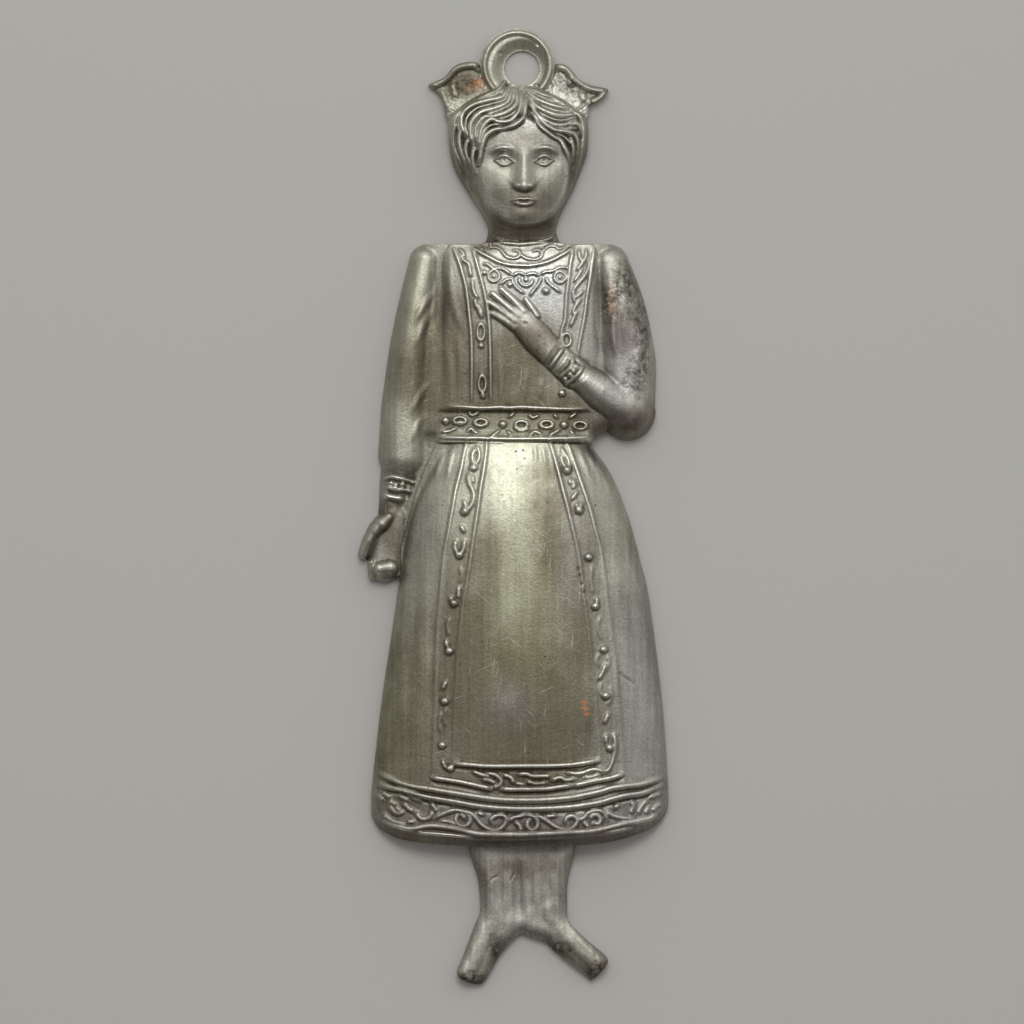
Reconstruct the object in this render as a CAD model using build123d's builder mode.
"""Votive charm: a standing woman in an apron dress, struck in thin silver-plated sheet, hollow behind.

The sheet lies on its back on the XY plane. The origin is the centre of the hanging eye,
+Y runs up the figure, +X to the right as seen from the front and +Z out of the relief.
All lengths are in millimetres.
"""

import os

from build123d import *

# Sheet and solder
sheet = 0.8  # thickness of the struck metal
rim = 0.9  # upright edge left round the figure by the trimming die
slender = 1.3  # half width under which a form is too small to arch
solder_radius = 0.9
below = 1.0  # how far a cutting form runs past the back plane
above = 12.0  # how far a cutting prism runs past the front

# Levels of the figure, from the hanging eye downwards
eye_radius = 2.5
crown_gap = 0.1  # between the eye and the top of the hair
head_height = 20.6
neck_length = 2.0
bodice_length = 22.7
belt_width = 4.6
skirt_length = 57.4
hem_sag = 4.2  # how much lower the hem hangs in the middle than at its corners
hem_corner = 3.0
leg_length = 12.3  # below the hem, down to the fork between the feet

crown_y = -(eye_radius + crown_gap)
chin_y = crown_y - head_height
shoulder_y = chin_y - neck_length
belt_top_y = shoulder_y - bodice_length
belt_bottom_y = belt_top_y - belt_width
hem_y = belt_bottom_y - skirt_length
fork_y = hem_y - leg_length

# Widths across the figure
axis_x = -0.3  # the figure's middle line, beside the eye
parting_width = 5.4
temple_width = 19.8
jaw_width = 11.6
neck_width = 9.4
collar_width = 14.0
shoulder_width = 19.0
chest_width = 22.8
waist_width = 21.4
hip_width = 34.6
knee_width = 39.6
hem_width = 41.6

# Heights of the relief above the back plane
crown_relief = 3.0
hair_relief = 5.4
face_relief = 6.2
neck_relief = 3.6
chest_relief = 5.0
waist_relief = 4.8
hip_relief = 6.8
knee_relief = 7.2
hem_relief = 6.0
sleeve_relief = 4.4
forearm_relief = 6.9
hand_relief = 6.2
leg_relief = 2.9
web_relief = 1.6  # low ground left between an arm and the body

# Raised work on the dress
rail_width = 0.8
rail_lift = 0.45
bead_radius = 0.75
bead_height = 0.8
bead_sink = 0.3  # how deep a bead's foot stands in the sheet
bead_sides = 8
bead_taper = 35
apron_beads = 7  # down each side strip of the apron
hem_rails = ((1.4, 4.2), (6.6, 2.0), (8.0, 1.6))  # rise above the hem's edge, and sag
apron_edges = (  # share of the skirt's length, lean off the axis, half width inside the strips and outside
    (0.0, -0.1, 4.5, 6.8),
    (0.3, 0.2, 7.2, 10.6),
    (0.8, 0.9, 10.2, 13.3),
)
belt_bead_places = (-0.47, -0.11, 0.3)  # from the axis, as shares of the waist's width
hair_strands = 4  # on each side of the parting

# Hanging loop: a dished disc with its eye punched off centre
loop_offset = (-0.64, 0.42)  # from the eye to the middle of the disc
loop_ledge = 0.9  # flat left round the eye
loop_border = 1.85  # width of the raised border
loop_floor = 0.9  # thickness of the disc round the eye
loop_rim = 1.9  # height of the raised border
loop_floor_radius = eye_radius + loop_ledge
loop_radius = loop_floor_radius + loop_border

# Bow wings at the head's upper corners
wing_relief = 2.3
wing_tuck = 0.27  # where a wing's root lies behind the hair, as a share of the temple width from the middle


def relief_form(spine, stations, inset=0.0):
    """A swelling of the sheet, lofted through arched sections along a straight spine.

    Each station is its share of the spine, half its width and its height.
    A slender form, such as a finger, has a bevelled section in place of the arch.
    inset draws the whole form in, for the hollow behind it, or out, where it is negative.
    """
    start, end = Vector(*spine[0]), Vector(*spine[1])
    forward = (end - start).normalized()
    across = Vector(-forward.Y, forward.X, 0)
    run = (end - start).length - 2 * inset
    floor = -below if inset > 0 else 0
    with BuildPart(mode=Mode.PRIVATE) as form:
        for share, half, height in stations:
            reach, top = half - inset, height - inset
            wall = rim * top / height
            middle = start + forward * (inset + share * run)
            with BuildSketch(Plane(middle, x_dir=across, z_dir=forward)):
                with BuildLine():
                    Polyline((-reach, wall), (-reach, floor), (reach, floor), (reach, wall))
                    if half < slender:
                        flat = 0.5 * reach
                        Polyline((reach, wall), (reach, 0.85 * top), (flat, top))
                        Polyline((flat, top), (-flat, top), (-reach, 0.85 * top), (-reach, wall))
                    else:
                        Bezier((reach, wall), (reach, 0.75 * top), (0.6 * reach, top), (0, top))
                        Bezier((0, top), (-0.6 * reach, top), (-reach, 0.75 * top), (-reach, wall))
                make_face()
        loft()
    return form.part


def raised_lines(grown, lines):
    """Rails on a form: the form grown by the rails' lift, kept only over lines of two or three points."""
    with BuildPart(mode=Mode.PRIVATE) as rails:
        add(grown)
        with BuildSketch():
            for points in lines:
                with BuildLine():
                    if len(points) == 2:
                        Line(*points)
                    else:
                        ThreePointArc(*points)
                trace(line_width=rail_width)
        extrude(amount=above, mode=Mode.INTERSECT)
    return rails.part


def surface_height(part, x, y):
    """How high a part stands above the back plane at one point of its plan."""
    ray = Axis((x, y, above), (0, 0, -1))
    hits = [point.Z for face in part.faces() for point, normal in face.find_intersection_points(ray)]
    return max(hits)


# Head, neck and bodice
head = (
    ((axis_x, crown_y), (axis_x, chin_y)),
    (
        (0.0, parting_width / 2, crown_relief),
        (0.12, 0.36 * temple_width, 0.8 * hair_relief),
        (0.34, temple_width / 2, hair_relief),
        (0.48, 0.49 * temple_width, hair_relief),
        (0.82, jaw_width / 2, hair_relief),
        (1.0, neck_width / 2, neck_relief),
    ),
)
face_middle = axis_x + 0.6
face = (
    ((face_middle, chin_y + 0.72 * head_height), (face_middle, chin_y + 0.4)),
    (
        (0.0, 0.18 * temple_width, 0.85 * face_relief),
        (0.3, 0.3 * temple_width, 0.97 * face_relief),
        (0.65, 0.28 * temple_width, face_relief),
        (1.0, 0.14 * temple_width, 0.8 * face_relief),
    ),
)
nose = (
    ((face_middle, chin_y + 0.42 * head_height), (face_middle, chin_y + 0.26 * head_height)),
    ((0.0, 0.5, face_relief), (1.0, 1.0, 1.12 * face_relief)),
)
neck = (
    ((axis_x, chin_y + 3.0), (axis_x, shoulder_y - 3.0)),
    (
        (0.0, neck_width / 2, neck_relief),
        (0.5, neck_width / 2, neck_relief),
        (1.0, collar_width / 2, 1.1 * neck_relief),
    ),
)
bodice = (
    ((axis_x, shoulder_y), (axis_x, belt_bottom_y)),
    (
        (0.0, shoulder_width / 2, neck_relief),
        (0.15, 0.48 * chest_width, 0.9 * chest_relief),
        (0.5, chest_width / 2, chest_relief),
        (1.0, waist_width / 2, waist_relief),
    ),
)

# Right arm, hanging at the side with its hand closed
right_shoulder = Vector(axis_x - 13.0, shoulder_y + 0.2)
right_cuff = right_shoulder + (-4.1, -33.0)
right_wrist = right_cuff + (-0.2, -4.6)
right_sleeve = (
    (right_shoulder, right_cuff),
    (
        (0.0, 2.0, 0.7 * sleeve_relief),
        (0.08, 2.7, 0.9 * sleeve_relief),
        (0.3, 3.0, sleeve_relief),
        (0.82, 3.5, sleeve_relief),
        (1.0, 2.8, 0.9 * sleeve_relief),
    ),
)
right_hand_root = (
    (right_cuff + (0, 2.2), right_wrist + (0, -1.4)),
    ((0.0, 2.5, 0.8 * sleeve_relief), (1.0, 2.4, 0.75 * sleeve_relief)),
)
right_fist = (
    (right_wrist + (-0.6, 1.6), right_wrist + (-2.1, -10.2)),
    ((0.0, 2.3, 3.0), (0.4, 2.2, 3.4), (0.8, 2.3, 3.6), (1.0, 1.9, 2.6)),
)
right_thumb = (
    (right_wrist + (-0.8, 0.0), right_wrist + (-4.9, -6.4)),
    ((0.0, 1.2, 2.9), (1.0, 1.0, 2.5)),
)
arm_web = (
    (right_shoulder + (2.2, -2.0), right_cuff + (3.0, -10.0)),
    ((0.0, 1.8, web_relief), (1.0, 2.2, web_relief)),
)

# Left arm, bent across the chest with its hand open
left_shoulder = Vector(axis_x + 12.5, shoulder_y - 0.2)
left_elbow = left_shoulder + (3.6, -27.2)
left_wrist = left_shoulder + (-6.1, -16.6)
left_palm = left_shoulder + (-14.2, -8.7)
left_upper_arm = (
    (left_shoulder, left_elbow),
    (
        (0.0, 2.2, 3.2),
        (0.1, 3.0, 0.61 * forearm_relief),
        (0.6, 3.8, 0.71 * forearm_relief),
        (0.85, 3.8, 0.75 * forearm_relief),
        (1.0, 2.4, 3.4),
    ),
)
left_forearm = (
    (left_elbow + (0.5, 3.0), left_wrist + (-1.0, 0.8)),
    (
        (0.0, 2.6, 0.72 * forearm_relief),
        (0.2, 3.4, 0.9 * forearm_relief),
        (0.6, 2.9, forearm_relief),
        (1.0, 2.0, 0.95 * forearm_relief),
    ),
)
left_hand = (
    (left_wrist + (0.8, -0.7), left_palm),
    (
        (0.0, 1.9, 0.9 * forearm_relief),
        (0.4, 1.9, hand_relief),
        (0.75, 2.4, hand_relief),
        (1.0, 2.0, 0.93 * hand_relief),
    ),
)
elbow_web = (
    (left_shoulder + (-3.0, -19.0), left_elbow + (-2.2, 1.4)),
    ((0.0, 2.2, web_relief), (1.0, 2.0, web_relief)),
)

# Fingers of the open hand, side by side from the first knuckle to the last
first_knuckle = left_palm + (1.9, 0.3)
last_knuckle = left_palm + (0.4, -2.0)
first_reach = Vector(-2.4, 2.8)
last_reach = Vector(-3.0, 1.7)
finger_shares = (0.0, 0.33, 0.67, 1.0)
finger_lengths = (0.95, 1.2, 1.15, 0.95)
fingers = []
for share, length in zip(finger_shares, finger_lengths):
    knuckle = first_knuckle + (last_knuckle - first_knuckle) * share
    reach = (first_reach + (last_reach - first_reach) * share) * length
    stations = ((0.0, 0.6, hand_relief), (1.0, 0.45, 0.92 * hand_relief))
    fingers.append(((knuckle, knuckle + reach), stations))
left_thumb = (
    (left_palm + (4.3, -1.1), left_palm + (2.3, 1.6)),
    ((0.0, 0.7, hand_relief), (1.0, 0.45, 0.92 * hand_relief)),
)

# Skirt, from under the belt to a hem that sags in the middle
hem_overrun = 1.0  # the form runs past the hem and is trimmed back to it
skirt_run = belt_top_y - hem_y + hem_overrun
skirt = (
    ((axis_x, belt_top_y), (axis_x, hem_y - hem_overrun)),
    (
        (0.0, waist_width / 2, 0.97 * waist_relief),
        (belt_width / skirt_run, waist_width / 2, waist_relief),
        (0.35, hip_width / 2, hip_relief),
        (0.67, knee_width / 2, knee_relief),
        (0.9, hem_width / 2, knee_relief),
        (1.0, hem_width / 2, hem_relief),
    ),
)


def skirt_body(inset=0.0):
    """The skirt's swelling, trimmed to the sagging hem with its rounded corners."""
    side = hem_width / 2 - inset
    edge = hem_y + inset
    left_end = (axis_x - side, edge + hem_sag)
    right_end = (axis_x + side, edge + hem_sag)
    with BuildPart(mode=Mode.PRIVATE) as body:
        add(relief_form(*skirt, inset=inset))
        with BuildSketch(Plane.XY.offset(-below)):
            with BuildLine():
                ThreePointArc(left_end, (axis_x, edge), right_end)
                Polyline(right_end, (axis_x + side, belt_top_y), (axis_x - side, belt_top_y), left_end)
            make_face()
            fillet(vertices().group_by(Axis.Y)[0], radius=hem_corner - inset)
        extrude(amount=below + above, mode=Mode.INTERSECT)
    return body.part


def apron_edge(side, share_inside):
    """Three points down one side strip of the apron, at its outer edge for share_inside 0, inner for 1."""
    points = []
    for share, lean, inside, outside in apron_edges:
        half = outside + (inside - outside) * share_inside
        points.append((axis_x + lean + side * half, belt_bottom_y - share * skirt_length))
    return points


def apron_foot(share_inside, sag):
    """Three points along the apron's lower edge, sagging between the feet of its side strips."""
    left, right = apron_edge(-1, share_inside)[-1], apron_edge(1, share_inside)[-1]
    return (left, ((left[0] + right[0]) / 2, left[1] - sag), right)


apron_lines = [apron_edge(side, inside) for side in (-1, 1) for inside in (0, 1)]
apron_lines += [apron_foot(1, 0.8), apron_foot(0, 2.4)]
hem_lines = []
for rise, sag in hem_rails:
    level = hem_y + rise
    half = hem_width / 2 + below
    hem_lines.append(((axis_x - half, level + sag), (axis_x, level), (axis_x + half, level + sag)))

# Borders of the bodice: the collar's lower arc and a strip down each side of the front
collar_line = ((axis_x - 6.8, shoulder_y), (face_middle, shoulder_y - 2.8), (axis_x + 7.8, shoulder_y + 0.4))
bodice_lines = [
    collar_line,
    ((axis_x - 9.5, shoulder_y - 0.4), (axis_x - 7.1, shoulder_y - 8.9), (axis_x - 6.8, belt_top_y)),
    ((axis_x - 6.8, shoulder_y - 0.7), (axis_x - 4.7, shoulder_y - 7.5), (axis_x - 4.1, belt_top_y)),
    ((axis_x + 6.7, shoulder_y), (axis_x + 5.7, shoulder_y - 10.0), (axis_x + 5.4, belt_top_y)),
    ((axis_x + 9.9, shoulder_y), (axis_x + 8.9, shoulder_y - 10.0), (axis_x + 8.1, belt_top_y)),
]

# Belt: two rails round the waist, with beads between them
belt_middle_y = (belt_top_y + belt_bottom_y) / 2
belt_lines = []
for level in (belt_top_y, belt_bottom_y):
    belt_lines.append(((axis_x - waist_width, level), (axis_x + waist_width, level)))

# Hair: strands that sweep from the parting to the temples
parting = Vector(face_middle, crown_y - 1.6)
hair_lines = []
for side in (-1, 1):
    for strand in range(hair_strands):
        share = (strand + 1) / hair_strands
        temple = Vector(axis_x + side * 0.46 * temple_width, crown_y - head_height * (0.2 + 0.3 * share))
        drop = Vector(0, -head_height * 0.16 * share)
        bend = parting + (temple - parting) * 0.5 + Vector(0, 1.3) + drop * 0.3
        hair_lines.append((parting + drop, bend, temple))

# Cuff of the hanging sleeve and bracelet of the bent arm
cuff_lines = [
    (right_cuff + (-3.5, rise), right_cuff + (3.5, rise - 0.5)) for rise in (0.6, -1.2)
]
bracelet_step = (left_wrist - left_palm).normalized()
bracelet_reach = Vector(-bracelet_step.Y, bracelet_step.X) * 3.0
bracelet_lines = []
for along in (-1.0, 0.4, 1.8):
    middle = left_wrist + bracelet_step * along
    bracelet_lines.append((middle - bracelet_reach, middle + bracelet_reach))

hollow_forms = (
    head,
    face,
    neck,
    bodice,
    right_sleeve,
    right_hand_root,
    right_fist,
    left_upper_arm,
    left_forearm,
    left_hand,
)
solid_forms = (nose, right_thumb, arm_web, elbow_web, left_thumb, *fingers)

# Beads, which stand on the skirt's side strips and on the belt
bead_places = []
for side in (-1, 1):
    strip = ThreePointArc(*apron_edge(side, 0.5))
    for bead in range(apron_beads):
        bead_places.append(strip @ ((bead + 0.5) / apron_beads))
for place in belt_bead_places:
    bead_places.append(Vector(axis_x + place * waist_width, belt_middle_y))

# Legs and feet, tucked behind the hem
leg_tuck = 5.5
left_leg = (
    ((axis_x - 3.6, hem_y + leg_tuck), (axis_x - 3.2, fork_y + 2.0)),
    ((0.0, 3.6, leg_relief), (0.35, 3.6, leg_relief), (1.0, 2.9, 0.9 * leg_relief)),
)
right_leg = (
    ((axis_x + 3.6, hem_y + leg_tuck), (axis_x + 3.5, fork_y + 2.0)),
    ((0.0, 3.6, leg_relief), (0.35, 3.6, leg_relief), (1.0, 2.9, 0.9 * leg_relief)),
)
left_foot = (
    ((axis_x - 3.3, fork_y + 4.2), (axis_x - 7.0, fork_y - 6.5)),
    ((0.0, 2.5, 0.85 * leg_relief), (0.5, 2.2, 0.95 * leg_relief), (1.0, 2.1, leg_relief)),
)
right_foot = (
    ((axis_x + 4.1, fork_y + 3.7), (axis_x + 11.2, fork_y - 5.1)),
    ((0.0, 2.5, 0.85 * leg_relief), (0.5, 1.9, 0.95 * leg_relief), (1.0, 1.6, leg_relief)),
)
leg_forms = (left_leg, right_leg, left_foot, right_foot)

with BuildPart() as leg_strip:
    add([relief_form(*form) for form in leg_forms])
    add([relief_form(*form, inset=sheet) for form in leg_forms], mode=Mode.SUBTRACT)

# Hanging loop, with its lower edge tucked behind the crown
loop_plane = Plane(Vector(*loop_offset), x_dir=(1, 0, 0), z_dir=(0, -1, 0))
with BuildPart() as loop_disc:
    with BuildSketch(loop_plane):
        with BuildLine():
            Polyline(
                (0, loop_floor),
                (0, 0),
                (loop_radius, 0),
                (loop_radius, loop_floor),
            )
            Line((loop_radius, loop_floor), (loop_radius - 0.35, loop_rim))
            Line((loop_radius - 0.35, loop_rim), (loop_radius - 0.9, loop_rim))
            Line((loop_radius - 0.9, loop_rim), (loop_floor_radius, loop_floor))
            Line((loop_floor_radius, loop_floor), (0, loop_floor))
        make_face()
    revolve(axis=Axis(Vector(*loop_offset), (0, 0, 1)))

with BuildPart() as hanging_loop:
    add(loop_disc.part)
    with Locations((0, 0, loop_floor)):
        Hole(radius=eye_radius)

# Bow wings
wing_root_y = crown_y - 0.15 * head_height
left_wing_root = Vector(axis_x - wing_tuck * temple_width, wing_root_y)
right_wing_root = Vector(axis_x + wing_tuck * temple_width, wing_root_y)


def beside_crown(*offsets):
    """Points given across and up from the top of the hair."""
    return [(axis_x + across, crown_y + up) for across, up in offsets]


left_wing_top = beside_crown((-4.1, 3.5), (-6.7, 3.6), (-9.3, 2.6), (-13.0, 0.2))
left_wing_side = beside_crown((-13.0, 0.2), (-11.3, -1.5), (-10.1, -5.0))
right_wing_top = beside_crown((3.7, 3.2), (5.9, 3.3), (8.5, 0.9), (12.5, -0.5))
right_wing_side = beside_crown((12.5, -0.5), (10.5, -2.4), (9.3, -5.0))


def wing_body(root, top_edge, side_edge):
    """One flared corner of the bow: a low swelling kept inside its outline and ending at the loop."""
    tip = Vector(*side_edge[0])
    outward = (tip - root).normalized()
    span = (root - outward, tip + outward)
    with BuildPart(mode=Mode.PRIVATE) as body:
        add(relief_form(span, ((0.0, 6.5, wing_relief), (1.0, 6.0, 0.8 * wing_relief))))
        with BuildSketch():
            with BuildLine():
                Spline(*top_edge)
                ThreePointArc(*side_edge)
                Polyline(side_edge[-1], (root.X, side_edge[-1][1]), (root.X, root.Y), top_edge[0])
            make_face()
        extrude(amount=above, mode=Mode.INTERSECT)
        with Locations(Vector(*loop_offset)):
            Cylinder(loop_radius, 2 * above, mode=Mode.SUBTRACT)
    return body.part


def wing(root, top_edge, side_edge):
    """A wing with the punch's hollow behind it."""
    reach = Vector(*side_edge[0]) - root
    hollow = (root + reach * 0.1, root + reach * 0.75)
    with BuildPart(mode=Mode.PRIVATE) as piece:
        add(wing_body(root, top_edge, side_edge))
        hollow_form = relief_form(hollow, ((0.0, 3.0, wing_relief), (1.0, 1.8, wing_relief)), inset=sheet)
        add(hollow_form, mode=Mode.SUBTRACT)
    return piece.part


with BuildPart() as left_bow_wing:
    add(wing(left_wing_root, left_wing_top, left_wing_side))

with BuildPart() as right_bow_wing:
    add(wing(right_wing_root, right_wing_top, right_wing_side))

# The struck figure: hollow behind, with notches where the soldered pieces pass through its edge
skirt_form = relief_form(*skirt)
bodice_form = relief_form(*bodice)
bead_seats = []
for place in bead_places:
    base = skirt_form if place.Y < belt_middle_y else bodice_form
    bead_seats.append((place.X, place.Y, surface_height(base, place.X, place.Y) - bead_sink))

raised_work = [
    raised_lines(skirt_body(-rail_lift), belt_lines + apron_lines + hem_lines),
    raised_lines(relief_form(*bodice, inset=-rail_lift), bodice_lines),
    raised_lines(relief_form(*head, inset=-rail_lift), hair_lines),
    raised_lines(relief_form(*right_hand_root, inset=-rail_lift), cuff_lines),
    raised_lines(relief_form(*left_forearm, inset=-rail_lift), bracelet_lines),
]
passing_pieces = [
    loop_disc.part,
    wing_body(left_wing_root, left_wing_top, left_wing_side),
    wing_body(right_wing_root, right_wing_top, right_wing_side),
    *(relief_form(*form) for form in leg_forms),
]
with BuildPart() as figure_shell:
    add([relief_form(*form) for form in hollow_forms + solid_forms])
    add([skirt_body(), *raised_work])
    with BuildSketch(*(Plane(seat) for seat in bead_seats)):
        RegularPolygon(bead_radius, bead_sides)
    extrude(amount=bead_height, taper=bead_taper)
    add([relief_form(*form, inset=sheet) for form in hollow_forms], mode=Mode.SUBTRACT)
    add([skirt_body(sheet), *passing_pieces], mode=Mode.SUBTRACT)

# Solder: beads run along each tucked edge, against the inside of the sheet
def solder_bead(middle, length, angle, radius):
    """A rod of solder with rounded ends, lying level at an angle from the X axis."""
    with BuildPart(mode=Mode.PRIVATE) as bead:
        with Locations(Location(middle, (0, 90, angle))):
            rod = Cylinder(radius, length)
        fillet(rod.edges().filter_by(GeomType.CIRCLE), radius=0.6 * radius)
    return bead.part


with BuildPart() as loop_solder:
    add(solder_bead((loop_offset[0], loop_offset[1] - loop_radius + 0.2, loop_rim + 0.4), 4.0, 0, 1.2))
    add(figure_shell.part, mode=Mode.SUBTRACT)
    add(hanging_loop.part, mode=Mode.SUBTRACT)

with BuildPart() as bow_solder:
    for root, side in ((left_wing_root, -1), (right_wing_root, 1)):
        add(solder_bead((root.X + side * 0.4, root.Y - 1.6, wing_relief + 0.4), 3.0, 90, 1.1))
    for piece in (figure_shell, left_bow_wing, right_bow_wing):
        add(piece.part, mode=Mode.SUBTRACT)

with BuildPart() as leg_solder:
    add(solder_bead((axis_x, hem_y + sheet + 0.5, leg_relief + 0.2), 9.0, 0, solder_radius))
    add(figure_shell.part, mode=Mode.SUBTRACT)
    add(leg_strip.part, mode=Mode.SUBTRACT)

os.makedirs("parts", exist_ok=True)
pieces = {
    "figure_shell": figure_shell,
    "hanging_loop": hanging_loop,
    "left_bow_wing": left_bow_wing,
    "right_bow_wing": right_bow_wing,
    "leg_strip": leg_strip,
    "loop_solder": loop_solder,
    "bow_solder": bow_solder,
    "leg_solder": leg_solder,
}
for name, piece in pieces.items():
    piece.part.label = name
    export_step(piece.part, f"parts/{name}.step")
